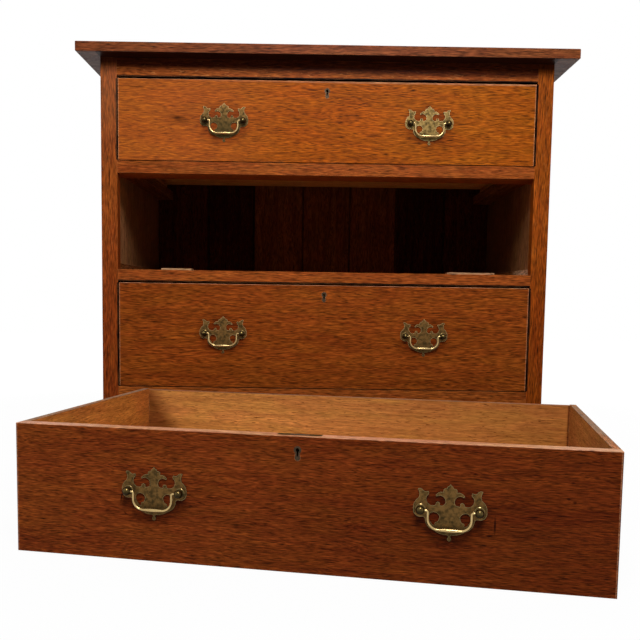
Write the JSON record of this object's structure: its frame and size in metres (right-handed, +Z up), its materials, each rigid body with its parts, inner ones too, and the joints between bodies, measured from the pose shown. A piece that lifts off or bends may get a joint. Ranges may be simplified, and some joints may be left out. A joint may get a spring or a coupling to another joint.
{
  "type": "chest of drawers",
  "caption": "Low oak chest of long drawers with pierced bail handles, one drawer taken out and standing on the floor in front.",
  "frame": {"origin": "on the floor, in the middle of the footprint of the chest with the drawer that stands in front of it", "axes": "+X to the right as seen from the front, +Y to the back, +Z up"},
  "size_m": [0.9768, 1.1331, 0.8622],
  "materials": {
    "oak_carcass": "stained and waxed oak, satin",
    "oak_fronts": "stained and waxed oak, satin",
    "pine_back": "unfinished aged pine, matt",
    "pine_frame": "unfinished pine, matt",
    "drawer_lining": "unfinished oak, matt",
    "drawer_bottoms": "unfinished pine, matt",
    "brass_plates": "aged, bright on the bevels",
    "brass_posts": "polished, aged in the hollows",
    "brass_bails": "polished by use",
    "brass_escutcheon": "satin",
    "brass_nuts": "dull",
    "brass_lock": "tarnished",
    "steel_bolt": "filed",
    "steel_screws": "dull"
  },
  "bodies": {
    "carcass": {"side_left": "oak_carcass", "side_right": "oak_carcass", "stile_left": "oak_carcass", "stile_right": "oak_carcass", "top_board": "oak_carcass", "top_rail": "oak_carcass", "upper_rail": "oak_carcass", "lower_rail": "oak_carcass", "bottom_rail": "oak_carcass", "back_rail_top": "pine_frame", "back_rail_bottom": "pine_frame", "back_boards": "pine_back", "runners": "pine_frame", "guides": "pine_frame", "kickers": "pine_frame", "drawer_stops": "pine_frame", "glue_blocks": "pine_frame", "screws": "steel_screws"},
    "drawer_top": {"top_front": "oak_fronts", "top_side_left": "drawer_lining", "top_side_right": "drawer_lining", "top_back": "drawer_lining", "top_bottom": "drawer_bottoms", "top_lock": "brass_lock", "top_escutcheon": "brass_escutcheon", "top_posts": "brass_posts", "top_nuts": "brass_nuts", "top_plate_left": "brass_plates", "top_plate_right": "brass_plates"},
    "top_bail_left": {"top_bail_left": "brass_bails"},
    "top_bail_right": {"top_bail_right": "brass_bails"},
    "top_bolt": {"top_bolt": "steel_bolt"},
    "drawer_middle": {"middle_front": "oak_fronts", "middle_side_left": "drawer_lining", "middle_side_right": "drawer_lining", "middle_back": "drawer_lining", "middle_bottom": "drawer_bottoms", "middle_lock": "brass_lock", "middle_escutcheon": "brass_escutcheon", "middle_posts": "brass_posts", "middle_nuts": "brass_nuts", "middle_plate_left": "brass_plates", "middle_plate_right": "brass_plates"},
    "middle_bail_left": {"middle_bail_left": "brass_bails"},
    "middle_bail_right": {"middle_bail_right": "brass_bails"},
    "middle_bolt": {"middle_bolt": "steel_bolt"},
    "drawer_bottom": {"bottom_front": "oak_fronts", "bottom_side_left": "drawer_lining", "bottom_side_right": "drawer_lining", "bottom_back": "drawer_lining", "bottom_bottom": "drawer_bottoms", "bottom_lock": "brass_lock", "bottom_escutcheon": "brass_escutcheon", "bottom_posts": "brass_posts", "bottom_nuts": "brass_nuts", "bottom_plate_left": "brass_plates", "bottom_plate_right": "brass_plates"},
    "bottom_bail_left": {"bottom_bail_left": "brass_bails"},
    "bottom_bail_right": {"bottom_bail_right": "brass_bails"},
    "bottom_bolt": {"bottom_bolt": "steel_bolt"}
  },
  "joints": [
    {"name": "top_slide", "type": "slide", "parent": "carcass", "child": "drawer_top", "axis": [0, -1, 0], "range_m": [0, 0.36]},
    {"name": "bottom_slide", "type": "slide", "parent": "carcass", "child": "drawer_bottom", "axis": [0, -1, 0], "range_m": [0, 0.36]},
    {"name": "middle_lift", "type": "slide", "parent": "carcass", "child": "drawer_middle", "axis": [0, 0, 1], "range_m": [0, 0.4287]},
    {"name": "top_bail_left_swing", "type": "hinge", "parent": "drawer_top", "child": "top_bail_left", "pos_m": [-0.2045, 0.06405, 0.7236], "axis": [-1, 0, 0], "range_deg": [0, 170]},
    {"name": "top_bail_right_swing", "type": "hinge", "parent": "drawer_top", "child": "top_bail_right", "pos_m": [0.2045, 0.06405, 0.7236], "axis": [-1, 0, 0], "range_deg": [0, 170]},
    {"name": "top_bolt_throw", "type": "slide", "parent": "drawer_top", "child": "top_bolt", "axis": [0, 0, 1], "range_m": [0, 0.008]},
    {"name": "middle_bail_left_swing", "type": "hinge", "parent": "drawer_middle", "child": "middle_bail_left", "pos_m": [-0.24135, -0.45594, 0.101], "axis": [-0.9814, 0.1918, 0], "range_deg": [0, 170]},
    {"name": "middle_bail_right_swing", "type": "hinge", "parent": "drawer_middle", "child": "middle_bail_right", "pos_m": [0.16005, -0.5344, 0.101], "axis": [-0.9814, 0.1918, 0], "range_deg": [0, 170]},
    {"name": "middle_bolt_throw", "type": "slide", "parent": "drawer_middle", "child": "middle_bolt", "axis": [0, 0, 1], "range_m": [0, 0.008]},
    {"name": "bottom_bail_left_swing", "type": "hinge", "parent": "drawer_bottom", "child": "bottom_bail_left", "pos_m": [-0.2045, 0.06405, 0.3007], "axis": [-1, 0, 0], "range_deg": [0, 170]},
    {"name": "bottom_bail_right_swing", "type": "hinge", "parent": "drawer_bottom", "child": "bottom_bail_right", "pos_m": [0.2045, 0.06405, 0.3007], "axis": [-1, 0, 0], "range_deg": [0, 170]},
    {"name": "bottom_bolt_throw", "type": "slide", "parent": "drawer_bottom", "child": "bottom_bolt", "axis": [0, 0, 1], "range_m": [0, 0.008]}
  ]
}
